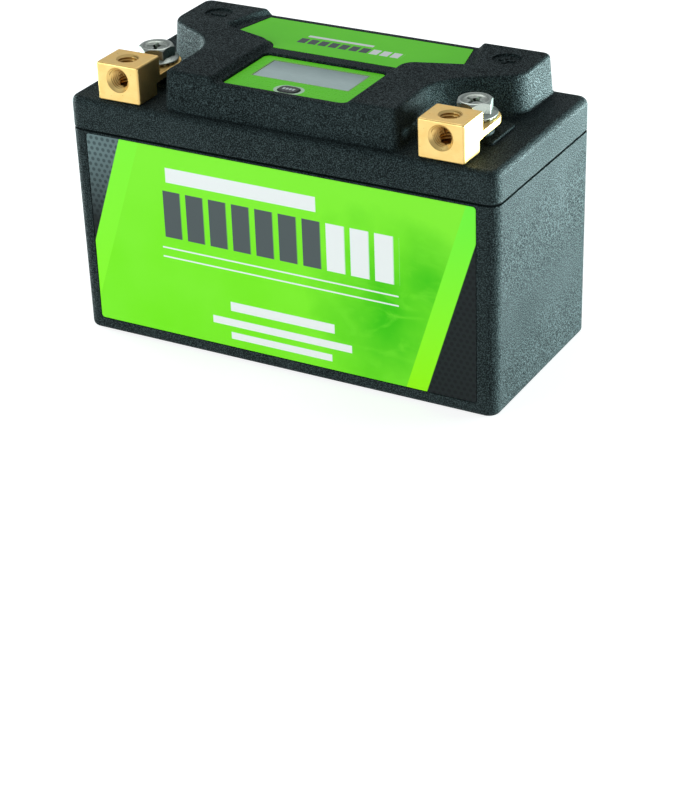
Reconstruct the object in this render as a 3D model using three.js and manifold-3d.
// Twelve-volt lithium motorcycle battery. Millimetres, +Z up, origin at the centre of the base.
// +X is the battery's long side towards the positive terminal; the labelled front faces -Y.
import * as THREE from 'three';
import { mergeVertices } from 'three/addons/utils/BufferGeometryUtils.js';
import Module from 'manifold-3d';

const wasm = await Module();
wasm.setup();

// ---------------------------------------------------------------- driving dimensions
const width = 150;
const depth = 68;
const cornerRadius = 4;
const gap = 0.3;                  // running gap between neighbouring pieces
const overrun = 1;                // how far a cutter runs past the face it opens

const wall = 2.4;
const caseTop = 70;
const seamGap = 0.6;              // open line between case and lid
const lidTop = 81;
const lidEdgeRound = 2.3;
const baseRound = 1.5;
const sideDraft = 0.6;            // how much narrower each end of the case is at its base

const blockTop = 93.7;            // top of the raised block and its ears
const blockDraft = 0.9;
const blockEdgeRound = 1.2;
const blockHalf = 40;             // half width of the block's narrow front part
const blockFrontRound = 1.5;
const blockFront = -29.9;
const blockBack = 32;
const earHalf = 62.7;             // half width across the two ears
const earTurnY = 15.3;            // where the ear's outer side becomes straight
const earRound = 8;
const bayRound = 17;              // concave sweep from the block's side to the ear's front
const sweepAngle = Math.PI / 6;
const blockCeiling = 88.2;        // underside of the block's top wall

const channelFloor = 91.8;        // sunken strip between the ears
const channelHalf = 24;
const channelSlope = 2.2;
const channelEarX = 41.3;         // where the strip's edge turns round the corner of each ear
const channelBackX = 38.2;
const labelEarX = 39.4;           // the same two places on the printed strip
const labelBackX = 37.4;
const overlaySeat = 90.6;         // floor under the display's printed sheet

const terminalX = 56.2;
const boltY = -9.7;
const brassWidth = 15.4;          // brass block, across X
const brassFront = -32.5;
const brassBack = -19.6;
const brassFootBack = -21.8;      // the block is shorter below its tab
const brassBottom = 81.2;
const brassTop = 93.6;
const tabBottom = 85.2;
const tabTop = 87.4;
const washerTop = 88;
const boltHeadTop = 92.7;
const boltEnd = 77.5;
const boltHoleRadius = 3.3;
const threadRadius = 3.05;
const frontHoleZ = 88.5;
const frontHoleDepth = 8.5;
const topHoleY = -26.1;
const topHoleDepth = 9;

const cellWidth = 27;
const cellPitch = 28.5;
const cellDepth = 56;
const cellBase = wall + 2;
const cellHeight = 50;
const cellTop = cellBase + cellHeight;
const studY = 16;
const studTop = cellTop + 3.4;
const barThick = 1.5;
const barTop = studTop + barThick;
const barHalfWidth = 6;
const studHoleRadius = 2.3;
const boardBottom = 62.2;
const boardTop = boardBottom + 1.6;

const displayBoardBottom = 82;
const displayBoardTop = 83.6;
const buttonY = -22.95;
const buttonLength = 7.2;
const buttonBreadth = 4.7;

// ---------------------------------------------------------------- materials
function material(color, roughness, metalness = 0) {
  return new THREE.MeshStandardMaterial({ color, roughness, metalness });
}
const blackPlastic = material(0x1c1d1f, 0.6);
const brass = material(0xd9b36a, 0.3, 1);
const zinc = material(0xc9ccce, 0.3, 1);
const label = material(0x7cc52b, 0.3);
const clear = material(0xcfd8d4, 0.1);
const glass = material(0x9aa3a1, 0.15);
const whitePlastic = material(0xe8e8e4, 0.5);
const boardGreen = material(0x1f5a34, 0.5);
const blueSleeve = material(0x2a5fae, 0.45);
const foam = material(0x2b2c2e, 0.95);
const copper = material(0xb87333, 0.35, 1);
const nickel = material(0xbfc0ba, 0.35, 1);
const redWire = material(0xb3261e, 0.5);
const blackWire = material(0x18181a, 0.5);
const darkButton = material(0x3a3d40, 0.45);

// ---------------------------------------------------------------- geometry helpers
function solid(geometry) {
  const bare = geometry.clone();
  bare.deleteAttribute('normal');
  bare.deleteAttribute('uv');
  const merged = mergeVertices(bare, 1e-4);
  return new wasm.Manifold(new wasm.Mesh({
    numProp: 3,
    vertProperties: new Float32Array(merged.attributes.position.array),
    triVerts: new Uint32Array(merged.index.array),
  }));
}

function union(parts) {
  return parts.reduce((whole, part) => whole.add(part));
}

function cut(body, cutters) {
  return cutters.reduce((rest, cutter) => rest.subtract(cutter), body);
}

function box(x0, x1, y0, y1, z0, z1) {
  const geometry = new THREE.BoxGeometry(x1 - x0, y1 - y0, z1 - z0);
  geometry.translate((x0 + x1) / 2, (y0 + y1) / 2, (z0 + z1) / 2);
  return solid(geometry);
}

// Turned body about a vertical axis at (x, y); the profile lists [radius, height] from bottom to top.
function turned(profile, x, y, segments = 24) {
  const points = profile.map(([radius, height]) => new THREE.Vector2(radius, height));
  const geometry = new THREE.LatheGeometry(points, segments);
  geometry.rotateX(Math.PI / 2);
  geometry.translate(x, y, 0);
  return solid(geometry);
}

function rod(radius, z0, z1, x, y, segments = 24) {
  return turned([[0, z0], [radius, z0], [radius, z1], [0, z1]], x, y, segments);
}

function arc(cx, cy, radius, from, to, steps) {
  const curve = new THREE.EllipseCurve(cx, cy, radius, radius, from, to, to < from);
  return curve.getPoints(steps);
}

function roundedRectangle(x0, x1, y0, y1, radius, steps = 5) {
  const quarter = Math.PI / 2;
  return [
    ...arc(x1 - radius, y0 + radius, radius, -quarter, 0, steps),
    ...arc(x1 - radius, y1 - radius, radius, 0, quarter, steps),
    ...arc(x0 + radius, y1 - radius, radius, quarter, 2 * quarter, steps),
    ...arc(x0 + radius, y0 + radius, radius, 2 * quarter, 3 * quarter, steps),
  ];
}

// Completes an outline from its right half, listed from the front centre line to the back one.
function mirrored(rightHalf) {
  const leftHalf = rightHalf.map((point) => new THREE.Vector2(-point.x, point.y)).reverse();
  return [...rightHalf, ...leftHalf];
}

// Moves every edge of an anticlockwise outline outwards by the given distance.
function grown(outline, distance) {
  return outline.map((point, i) => {
    const before = outline[(i + outline.length - 1) % outline.length];
    const after = outline[(i + 1) % outline.length];
    const arriving = point.clone().sub(before).normalize();
    const leaving = after.clone().sub(point).normalize();
    const normal = new THREE.Vector2(arriving.y + leaving.y, -arriving.x - leaving.x);
    return point.clone().addScaledVector(normal, 2 * distance / normal.lengthSq());
  });
}

// Closed body whose sections are one outline grown by a different amount at each height.
function loft(outline, levels) {
  const count = outline.length;
  const rings = levels.map(([z, growth]) => grown(outline, growth).map((p) => [p.x, p.y, z]));
  const index = [];
  for (let level = 1; level < rings.length; level++) {
    for (let i = 0; i < count; i++) {
      const next = (i + 1) % count;
      const lower = (level - 1) * count;
      const upper = level * count;
      index.push(lower + i, lower + next, upper + next, lower + i, upper + next, upper + i);
    }
  }
  const last = (rings.length - 1) * count;
  for (const [a, b, c] of THREE.ShapeUtils.triangulateShape(outline.map((p) => p.clone()), [])) {
    index.push(c, b, a, last + a, last + b, last + c);
  }
  const geometry = new THREE.BufferGeometry();
  geometry.setAttribute('position', new THREE.Float32BufferAttribute(rings.flat(2), 3));
  geometry.setIndex(index);
  return solid(geometry);
}

function prism(outline, z0, z1) {
  return loft(outline, [[z0, 0], [z1, 0]]);
}

// Levels of a quarter-round top edge that starts from the given growth.
function roundedEdge(top, radius, growth, steps) {
  return Array.from({ length: steps + 1 }, (_, i) => {
    const angle = (i / steps) * Math.PI / 2;
    return [top - radius + radius * Math.sin(angle), growth - radius + radius * Math.cos(angle)];
  });
}

// Round wire along a smooth curve through the given points.
function wire(points, radius, steps = 14) {
  const sides = 8;
  const section = new THREE.Shape();
  section.absarc(0, 0, radius, 0, 2 * Math.PI);
  const path = new THREE.CatmullRomCurve3(points.map((p) => new THREE.Vector3(...p)));
  return solid(new THREE.ExtrudeGeometry(section, {
    steps, curveSegments: sides / 2, extrudePath: path, bevelEnabled: false,
  }));
}

const battery = new THREE.Group();

function place(name, body, finish) {
  const { vertProperties, triVerts } = body.getMesh();
  const geometry = new THREE.BufferGeometry();
  geometry.setAttribute('position', new THREE.BufferAttribute(vertProperties, 3));
  geometry.setIndex(new THREE.BufferAttribute(triVerts, 1));
  const piece = new THREE.Mesh(geometry, finish);
  piece.name = name;
  battery.add(piece);
}

// The two terminals are mirror images: side is -1 for negative and 1 for positive.
// Each bolt head stands at its own angle, in degrees, as it was tightened.
const terminals = [
  { name: 'negative', side: -1, headTurn: 23 },
  { name: 'positive', side: 1, headTurn: -12 },
];

// ---------------------------------------------------------------- outlines
const footprint = roundedRectangle(-width / 2, width / 2, -depth / 2, depth / 2, cornerRadius);

function blockOutline(frontRound) {
  const backRound = 3;
  const quarter = Math.PI / 2;
  const earStartX = earHalf - earRound + earRound * Math.sin(sweepAngle);
  const earStartY = earTurnY - earRound * Math.cos(sweepAngle);
  const sweepEndX = blockHalf + bayRound - bayRound * Math.sin(sweepAngle);
  const sweepEndY = earStartY - (earStartX - sweepEndX) * Math.tan(sweepAngle);
  const sweepStartY = sweepEndY - bayRound * Math.cos(sweepAngle);
  return mirrored([
    ...arc(blockHalf - frontRound, blockFront + frontRound, frontRound, -quarter, 0, 4),
    ...arc(blockHalf + bayRound, sweepStartY, bayRound, Math.PI, quarter + sweepAngle, 7),
    ...arc(earHalf - earRound, earTurnY, earRound, sweepAngle - quarter, 0, 6),
    ...arc(earHalf - backRound, blockBack - backRound, backRound, 0, quarter, 4),
  ]);
}

// Sunken strip between the ears, open at the front and back; the outline is its upper edge.
function channelOutline(earX, backX) {
  const past = depth / 2 + 2;
  const shoulderRound = 5;
  const shoulderY = 3.2;
  const shoulderAngle = 0.3;
  const earCornerY = 15.2;
  const earCornerRound = 2.8;
  const turn = Math.PI / 2;
  return mirrored([
    new THREE.Vector2(channelHalf, -past),
    ...arc(channelHalf + shoulderRound, shoulderY, shoulderRound, Math.PI, turn + shoulderAngle, 5),
    ...arc(earX, earCornerY, earCornerRound, shoulderAngle - turn, shoulderAngle, 4),
    new THREE.Vector2(backX, past),
  ]);
}

function stadium(cx, cy, length, breadth, steps = 8) {
  const radius = breadth / 2;
  const reach = length / 2 - radius;
  const quarter = Math.PI / 2;
  return [
    ...arc(cx + reach, cy, radius, -quarter, quarter, steps),
    ...arc(cx - reach, cy, radius, quarter, 3 * quarter, steps),
  ];
}

// ---------------------------------------------------------------- case
const labelLeft = -69;
const labelRight = 68.1;
const labelBottom = 4.3;
const labelTop = 69.3;
const labelRecess = 0.35;
const labelThick = 0.25;

function buildCase() {
  const roundSteps = 3;
  const base = roundedEdge(0, baseRound, 0, roundSteps).map(([z, growth]) => [-z, growth]).reverse();
  const outer = loft(footprint, [...base, [caseTop, 0]]);
  const draft = (vertex) => {
    const share = 1 - Math.min(vertex[2] / caseTop, 1);
    vertex[0] *= 1 - (sideDraft / (width / 2)) * share;
  };
  const cavity = loft(footprint, [[wall, -wall - 0.6], [caseTop + overrun, -wall]]);
  const tongueOuter = wall + gap;
  const tongueInner = tongueOuter + 1.3;
  const tongueTop = caseTop + 3.6;
  const tongueFoot = caseTop - 5;
  const tongue = cut(loft(footprint, [[tongueFoot, -wall + 0.4], [caseTop, -wall + 0.4],
    [caseTop, -tongueOuter], [tongueTop, -tongueOuter]]), [
    loft(footprint, [[tongueFoot - overrun, -wall], [tongueFoot + 2, -tongueInner],
      [tongueTop + overrun, -tongueInner]]),
  ]);
  const recess = box(labelLeft - gap, labelRight + gap, -depth / 2 - overrun,
    -depth / 2 + labelRecess, labelBottom - gap, labelTop + gap);
  const shell = cut(outer.warp(draft), [cavity]);
  place('case', cut(shell.add(tongue), [recess]), blackPlastic);
}

function buildFrontLabel() {
  const back = -depth / 2 + labelRecess;
  place('front_label', box(labelLeft, labelRight, back - labelThick, back, labelBottom, labelTop), label);
}

// ---------------------------------------------------------------- lid
const padHalf = 8.6;
const padFront = -15.8;
const padBack = 2;
const padFrontRound = 1;
const padBackRound = 3;
const padTop = 82;
const padEdge = 0.35;
const collarRadius = 5.8;         // plastic collar round the brass bush, under the tab
const collarTop = tabBottom - 0.2;
const insertRadius = 4.6;
const markX = 51.9;
const markY = 21.45;
const markRadius = 4.5;
const markDepth = 0.8;
const overlayHalf = 21.6;
const overlayFront = -27.1;
const overlayBack = 0.3;
const windowHalf = 19;
const windowFront = -18;
const windowBack = -0.4;
const topLabelFront = 5.3;
const topLabelBack = 29.1;
const bossX = 27;
const bossY = -11;
const pilotRadius = 1.3;          // hole that a small screw cuts its thread in
const boardHoleRadius = 1.4;
const boardScrewRadius = 1;

function polarityMark(side) {
  const floor = blockTop - markDepth;
  const barHalf = 2.8;
  const barWidth = 0.65;
  const barHeight = 0.5;
  const bars = [box(-barHalf, barHalf, -barWidth, barWidth, floor - overrun, floor + barHeight)];
  if (side > 0) {
    bars.push(box(-barWidth, barWidth, -barHalf, barHalf, floor - overrun, floor + barHeight));
  }
  return union(bars).translate([side * markX, markY, 0]);
}

// Part of the sunken strip's shape between two heights, between two straight ends.
function labelShape(inset, z0, z1) {
  const strip = prism(grown(channelOutline(labelEarX, labelBackX), -channelSlope - inset), z0, z1);
  const ends = Math.max(0, -inset);
  return strip.intersect(box(-width, width, topLabelFront - ends, topLabelBack + ends,
    z0 - overrun, z1 + overrun));
}

function padOutline(x) {
  const quarter = Math.PI / 2;
  return mirrored([
    ...arc(padHalf - padFrontRound, padFront + padFrontRound, padFrontRound, -quarter, 0, 3),
    ...arc(padHalf - padBackRound, padBack - padBackRound, padBackRound, 0, quarter, 4),
  ]).map((point) => new THREE.Vector2(point.x + x, point.y));
}

function buildLid() {
  const skirt = loft(footprint, [[caseTop + seamGap, 0],
    ...roundedEdge(lidTop, lidEdgeRound, 0, 4)]);
  const block = loft(blockOutline(blockFrontRound), [[lidTop - 3, blockDraft],
    ...roundedEdge(blockTop, blockEdgeRound, 0, 3)]);
  const pads = terminals.flatMap(({ side }) => [
    loft(padOutline(side * terminalX), [[lidTop - overrun, 0], [padTop - padEdge, 0], [padTop, -padEdge]]),
    rod(collarRadius, lidTop - overrun, collarTop, side * terminalX, boltY, 32),
  ]);
  const channel = loft(channelOutline(channelEarX, channelBackX), [[channelFloor, -channelSlope],
    [blockTop, 0], [blockTop + overrun, 0]]);
  const overlayBay = prism(roundedRectangle(-overlayHalf - gap, overlayHalf + gap,
    overlayFront - gap, overlayBack + gap, 2.2, 3), overlaySeat, channelFloor + overrun);
  const windowOpening = box(-windowHalf, windowHalf, windowFront, windowBack,
    blockCeiling - overrun, overlaySeat + overrun);
  const buttonOpening = prism(stadium(0, buttonY, buttonLength + 2 * gap, buttonBreadth + 2 * gap),
    blockCeiling - overrun, overlaySeat + overrun);
  const labelBay = labelShape(-gap, channelFloor - labelThick, channelFloor + overrun);
  const marks = terminals.map(({ side }) => rod(markRadius, blockTop - markDepth, blockTop + overrun,
    side * markX, markY));
  const shellInside = loft(footprint, [[caseTop - overrun, -wall], [lidTop - wall, -wall],
    [lidTop - wall, -wall - 1]]);
  const blockInside = prism(grown(blockOutline(blockFrontRound + wall), -wall),
    lidTop - wall - overrun, blockCeiling);
  const bushHoles = terminals.map(({ side }) => rod(insertRadius + gap, lidTop - wall - overrun,
    collarTop + overrun, side * terminalX, boltY, 32));
  const shell = cut(union([skirt, block, ...pads]), [channel, overlayBay, windowOpening,
    buttonOpening, labelBay, ...marks, shellInside, blockInside, ...bushHoles]);
  const bossRadius = 3;
  const bosses = [-bossX, bossX].map((x) => cut(
    rod(bossRadius, displayBoardTop, blockCeiling + 0.5, x, bossY, 16),
    [rod(pilotRadius, displayBoardTop - overrun, blockCeiling, x, bossY, 12)],
  ));
  place('lid', union([shell, ...bosses, ...terminals.map(({ side }) => polarityMark(side))]),
    blackPlastic);
}

function buildTopLabel() {
  place('top_label', labelShape(0, channelFloor - labelThick, channelFloor), label);
}

// ---------------------------------------------------------------- display and test button
function buildDisplay() {
  const overlayThick = 0.4;
  const glassTop = 90.1;
  const glassBottom = 87.4;
  const clearBottom = glassTop + 0.1;
  const clearTop = overlaySeat - 0.1;
  const faceHalf = 16.9;
  const faceFront = -16.4;
  const faceBack = -2.7;
  const faceGap = 0.15;
  const overlay = prism(roundedRectangle(-overlayHalf, overlayHalf, overlayFront, overlayBack, 2, 4),
    overlaySeat, overlaySeat + overlayThick);
  place('display_overlay', cut(overlay, [
    box(-faceHalf, faceHalf, faceFront, faceBack, overlaySeat - overrun, overlaySeat + overrun),
    prism(stadium(0, buttonY, buttonLength + 2 * gap, buttonBreadth + 2 * gap),
      overlaySeat - overrun, overlaySeat + overrun),
  ]), label);
  const fit = [-windowHalf + gap, windowHalf - gap, windowFront + gap, windowBack - gap];
  const raisedFace = box(-faceHalf + faceGap, faceHalf - faceGap, faceFront + faceGap,
    faceBack - faceGap, clearBottom, overlaySeat + overlayThick - faceGap / 2);
  place('display_window', box(...fit, clearBottom, clearTop).add(raisedFace), clear);
  place('lcd_glass', box(...fit, glassBottom, glassTop), glass);
  place('lcd_backlight', box(...fit, displayBoardTop, glassBottom), whitePlastic);

  const boardHalf = 31;
  const boardFront = -26.4;
  const boardBack = 4;
  const board = box(-boardHalf, boardHalf, boardFront, boardBack, displayBoardBottom, displayBoardTop);
  const screwHoles = [-bossX, bossX].map((x) => rod(boardHoleRadius, displayBoardBottom - overrun,
    displayBoardTop + overrun, x, bossY, 12));
  place('display_board', cut(board, screwHoles), boardGreen);
  const headBottom = displayBoardBottom - 1.6;
  const screwTip = displayBoardTop + 4;
  for (const [name, side] of [['left', -1], ['right', 1]]) {
    const screw = turned([[0, headBottom], [1.8, headBottom], [2.2, displayBoardBottom],
      [boardScrewRadius, displayBoardBottom], [boardScrewRadius, screwTip], [0, screwTip]],
    side * bossX, bossY, 12);
    place(`display_screw_${name}`, screw, zinc);
  }

  const switchTop = 86;
  const switchHalf = 3;
  place('test_switch', union([
    box(-switchHalf, switchHalf, buttonY - switchHalf, buttonY + switchHalf, displayBoardTop, switchTop),
    rod(1.6, switchTop - overrun, switchTop + 0.3, 0, buttonY, 16),
  ]), blackPlastic);

  const buttonTop = 91.4;
  const buttonEdge = 0.3;
  const lipBottom = 87;
  const lipTop = 87.9;
  const lipReach = 2.2;
  place('test_button', union([
    loft(stadium(0, buttonY, buttonLength, buttonBreadth),
      [[lipBottom, 0], [buttonTop - buttonEdge, 0], [buttonTop, -buttonEdge]]),
    prism(stadium(0, buttonY, buttonLength + lipReach, buttonBreadth + lipReach), lipBottom, lipTop),
  ]), darkButton);
}

// ---------------------------------------------------------------- terminals
function brassBlock(side) {
  const edge = 0.8;
  const softening = 0.25;
  const cornerRound = 1;
  const half = brassWidth / 2;
  const upper = loft(roundedRectangle(-half, half, brassFront, brassBack, cornerRound, 3), [
    [tabBottom, 0], [brassTop - edge, 0], [brassTop - softening, -softening], [brassTop, -edge],
  ]);
  const foot = loft(roundedRectangle(-half, half, brassFront, brassFootBack, cornerRound, 3), [
    [brassBottom, -edge], [brassBottom + softening, -softening], [brassBottom + edge, 0],
    [tabBottom + overrun, 0],
  ]);
  const tab = prism([
    new THREE.Vector2(-half, brassBack - 2), new THREE.Vector2(half, brassBack - 2),
    ...arc(0, boltY, half, 0, Math.PI, 16),
  ], tabBottom, tabTop);
  const frontHole = threadedHole(frontHoleDepth, 1).rotate([90, 0, 0])
    .translate([0, brassFront, frontHoleZ]);
  const topHole = threadedHole(topHoleDepth, 0.3).translate([0, topHoleY, brassTop]);
  const boltHole = rod(boltHoleRadius, tabBottom - overrun, tabTop + overrun, 0, boltY);
  return cut(union([upper, foot, tab]), [frontHole, topHole, boltHole])
    .translate([side * terminalX, 0, 0]);
}

// Cutter for a hole that opens upwards at height 0, with a chamfered mouth.
function threadedHole(holeDepth, chamfer) {
  const mouth = threadRadius + chamfer;
  return turned([[0, -holeDepth], [threadRadius, -holeDepth], [threadRadius, -chamfer], [mouth, 0],
    [mouth, overrun], [0, overrun]], 0, 0);
}

function flangeBolt(side, headTurn) {
  const shankRadius = 2.85;
  const flangeRadius = 7;
  const acrossFlats = 10;
  const flange = turned([[0, washerTop], [flangeRadius, washerTop], [flangeRadius, washerTop + 0.5],
    [5.2, washerTop + 1.3], [0, washerTop + 1.3]], 0, 0, 32);
  const hexagon = rod(acrossFlats / Math.sqrt(3), washerTop + 0.5, boltHeadTop, 0, 0, 6);
  const crown = turned([[0, washerTop], [6.2, washerTop], [6.2, boltHeadTop - 0.9],
    [4.5, boltHeadTop], [0, boltHeadTop]], 0, 0, 32);
  const recessDepth = 2.2;
  const armHalf = 0.6;
  const armReach = 3;
  const arm = () => loft([
    new THREE.Vector2(-armHalf, -armReach), new THREE.Vector2(armHalf, -armReach),
    new THREE.Vector2(armHalf, armReach), new THREE.Vector2(-armHalf, armReach),
  ], [[boltHeadTop - recessDepth, -0.2], [boltHeadTop + overrun, 0.2]]);
  const shank = turned([[0, boltEnd], [shankRadius - 0.6, boltEnd], [shankRadius, boltEnd + 0.6],
    [shankRadius, washerTop + 0.5], [0, washerTop + 0.5]], 0, 0);
  const head = cut(hexagon.intersect(crown), [arm(), arm().rotate([0, 0, 90])])
    .rotate([0, 0, headTurn]);
  return union([flange, head, shank]).translate([side * terminalX, boltY, 0]);
}

function buildTerminals() {
  const ceiling = lidTop - wall;
  const flangeTop = ceiling - gap;
  const flangeBottom = flangeTop - 2;
  const stripTop = flangeBottom;
  const stripBottom = stripTop - barThick;
  const nutBottom = stripBottom - 2.6;
  const spigot = 4;
  const stripFootX = 37;
  const stripLegX = 48;
  const stripHeadX = 63;
  const washerRadius = 6.6;
  const bushFlangeRadius = 8;
  const nutAcrossFlats = 13;
  for (const { name, side, headTurn } of terminals) {
    const x = side * terminalX;
    place(`terminal_block_${name}`, brassBlock(side), brass);
    place(`terminal_bolt_${name}`, flangeBolt(side, headTurn), zinc);
    const ring = rod(washerRadius, tabTop, washerTop, x, boltY, 32);
    place(`terminal_washer_${name}`, cut(ring, [rod(boltHoleRadius, tabTop - overrun,
      washerTop + overrun, x, boltY)]), zinc);

    const bush = turned([[0, nutBottom - 0.5], [spigot, nutBottom - 0.5], [spigot, flangeBottom],
      [bushFlangeRadius, flangeBottom], [bushFlangeRadius, flangeTop], [insertRadius, flangeTop],
      [insertRadius, tabBottom], [0, tabBottom]], x, boltY, 32);
    const thread = rod(threadRadius, boltEnd - 1.5, tabBottom + overrun, x, boltY);
    place(`terminal_insert_${name}`, cut(bush, [thread]), brass);
    const nut = rod(nutAcrossFlats / Math.sqrt(3), nutBottom, stripBottom, x, boltY, 6);
    place(`terminal_nut_${name}`, cut(nut, [rod(spigot + gap, nutBottom - overrun,
      stripBottom + overrun, x, boltY)]), brass);

    // Bent strip from the end cell's stud up to the bush.
    const near = side * stripLegX;
    const [legA, legB] = [near, near - side * barThick].sort((a, b) => a - b);
    const [footA, footB] = [side * stripFootX, near].sort((a, b) => a - b);
    const [headA, headB] = [near - side * barThick, side * stripHeadX].sort((a, b) => a - b);
    const stripFront = -studY - barHalfWidth;
    const stripBack = boltY + barHalfWidth;
    const strip = union([
      box(footA, footB, stripFront, -studY + barHalfWidth, studTop, barTop),
      box(legA, legB, stripFront, stripBack, studTop, stripTop),
      box(headA, headB, boltY - barHalfWidth, stripBack, stripBottom, stripTop),
    ]);
    place(`strip_${name}`, cut(strip, [
      rod(studHoleRadius, studTop - overrun, barTop + overrun, side * 1.5 * cellPitch, -studY, 16),
      rod(spigot + gap, stripBottom - overrun, stripTop + overrun, x, boltY),
    ]), copper);
  }
}

// ---------------------------------------------------------------- cell pack
const cellCentres = [-1.5, -0.5, 0.5, 1.5].map((step) => step * cellPitch);

function buildCells() {
  const studRadius = 5;
  const holeDepth = 6;
  const screwTip = studTop - 4.5;
  const screwRadius = 2;
  const headRadius = 3.6;
  const cellRound = 3;
  const canEdge = 0.5;
  cellCentres.forEach((x, i) => {
    const body = loft(roundedRectangle(x - cellWidth / 2, x + cellWidth / 2, -cellDepth / 2,
      cellDepth / 2, cellRound, 4), [[cellBase, -canEdge], [cellBase + canEdge, 0],
      [cellTop - canEdge, 0], [cellTop, -canEdge]]);
    const studs = [-studY, studY].map((y) => rod(studRadius, cellTop - overrun, studTop, x, y));
    const holes = [-studY, studY].map((y) =>
      rod(studHoleRadius, studTop - holeDepth, studTop + overrun, x, y, 16));
    place(`cell_${i + 1}`, cut(union([body, ...studs]), holes), blueSleeve);
    [-studY, studY].forEach((y, k) => {
      const screw = turned([[0, screwTip], [screwRadius, screwTip], [screwRadius, barTop],
        [headRadius, barTop], [headRadius, barTop + 1.6], [headRadius - 0.6, barTop + 2.2],
        [0, barTop + 2.2]], x, y, 16);
      place(`cell_screw_${2 * i + k + 1}`, screw, nickel);
    });
  });
  const between = [-1, 0, 1].map((step) => step * cellPitch);
  const padHalfThick = (cellPitch - cellWidth) / 2;
  between.forEach((x, i) => {
    place(`cell_pad_${i + 1}`, box(x - padHalfThick, x + padHalfThick, -cellDepth / 2 + 2,
      cellDepth / 2 - 2, cellBase, cellTop - 2), foam);
  });
  const packHalf = 1.5 * cellPitch + cellWidth / 2;
  const insideHalf = width / 2 - wall - 1.4;
  place('end_foam_left', box(-insideHalf, -packHalf, -cellDepth / 2, cellDepth / 2, cellBase,
    cellTop - 4), foam);
  place('end_foam_right', box(packHalf, insideHalf, -cellDepth / 2, cellDepth / 2, cellBase,
    cellTop - 4), foam);
  place('base_foam', box(-insideHalf, insideHalf, -cellDepth / 2, cellDepth / 2, wall, cellBase), foam);
}

function buildLinks() {
  const links = [['busbar_1_2', 0, studY], ['busbar_2_3', 1, -studY], ['busbar_3_4', 2, studY]];
  for (const [name, first, y] of links) {
    const [x0, x1] = [cellCentres[first], cellCentres[first + 1]];
    const bar = prism(stadium((x0 + x1) / 2, y, cellPitch + 2 * barHalfWidth, 2 * barHalfWidth, 6),
      studTop, barTop);
    place(name, cut(bar, [x0, x1].map((x) =>
      rod(studHoleRadius, studTop - overrun, barTop + overrun, x, y, 16))), copper);
  }
}

const postX = 28.5;
const frameTop = cellTop + 3;

function buildFrame() {
  const half = 1.5 * cellPitch + cellWidth / 2;
  const plate = box(-half, half, -cellDepth / 2, cellDepth / 2, cellTop, frameTop);
  const studHoles = cellCentres.flatMap((x) => [-studY, studY].map((y) =>
    rod(6, cellTop - overrun, frameTop + overrun, x, y, 20)));
  const posts = [-postX, postX].map((x) => cut(rod(3.2, frameTop - overrun, boardBottom, x, 0, 16),
    [rod(pilotRadius, boardBottom - 4, boardBottom + overrun, x, 0, 12)]));
  place('cell_frame', union([cut(plate, studHoles), ...posts]), blackPlastic);
}

function buildBalanceBoard() {
  const halfLength = 46;
  const halfBreadth = 20;
  const chipSpacing = 0.85;       // the chips stand closer together than the cells below them
  const chip = (x, y, length, breadth, height) => box(x - length / 2, x + length / 2,
    y - breadth / 2, y + breadth / 2, boardTop - overrun, boardTop + height);
  const board = box(-halfLength, halfLength, -halfBreadth, halfBreadth, boardBottom, boardTop);
  const chips = cellCentres.flatMap((cellX) => {
    const x = cellX * chipSpacing;
    return [
      chip(x, 10, 8, 8, 2),
      chip(x - 4, -9, 4, 6, 1.2),
      chip(x + 4, -9, 4, 6, 1.2),
    ];
  });
  const holes = [-postX, postX].map((x) =>
    rod(boardHoleRadius, boardBottom - overrun, boardTop + 3, x, 0, 12));
  place('balance_board', cut(union([board, ...chips]), holes), boardGreen);
  for (const [name, side] of [['left', -1], ['right', 1]]) {
    const screwTip = boardBottom - 3.6;
    const headTop = boardTop + 1.5;
    const screw = turned([[0, screwTip], [boardScrewRadius, screwTip], [boardScrewRadius, boardTop],
      [2.4, boardTop], [2, headTop], [0, headTop]], side * postX, 0, 12);
    place(`balance_screw_${name}`, screw, zinc);
  }
  const connector = box(-8, 8, -4, 3, boardTop, boardTop + 6);
  place('sense_connector', cut(connector, [box(-7, 7, -3, 2, boardTop + 2, boardTop + 7)]), whitePlastic);
}

// Thin leads: one from each point of the cell string to the connector, two up to the display.
function buildLeads() {
  const radius = 0.7;
  const endTap = studY + 4.8;
  const linkTap = studY + 4.6;
  const pinPitch = 2.4;
  const reach = 24.5;             // how far the leads bow out past the edge of the board
  const rise = boardTop + 3;
  const taps = [
    [-1.5 * cellPitch, -endTap], [-cellPitch, linkTap], [0, -linkTap],
    [cellPitch, linkTap], [1.5 * cellPitch, -endTap],
  ];
  taps.forEach(([x, y], i) => {
    const pin = (i - 2) * pinPitch;
    const outward = Math.sign(y) * reach;
    place(`sense_wire_${i + 1}`, wire([
      [x, y, barTop + radius + 0.1], [x * 0.98, outward, barTop + 3.5], [x * 0.9, outward, rise],
      [x * 0.6 + pin * 0.4, Math.sign(y) * 17, rise + 5.5 + i * 0.4],
      [pin, Math.sign(y) * 4, rise + 8.5], [pin, -0.5, boardTop + 2.6],
    ], radius), i === 0 ? blackWire : redWire);
  });
  for (const { name, side } of terminals) {
    place(`display_lead_${name}`, wire([
      [side * 12, -17, boardTop + 0.4], [side * 12, -17, boardTop + 4],
      [side * 10, -20, boardTop + 11], [side * 8, -20, displayBoardBottom - 0.4],
    ], radius, 12), side < 0 ? blackWire : redWire);
  }
}

buildCase();
buildFrontLabel();
buildLid();
buildTopLabel();
buildDisplay();
buildTerminals();
buildCells();
buildLinks();
buildFrame();
buildBalanceBoard();
buildLeads();

export default battery;
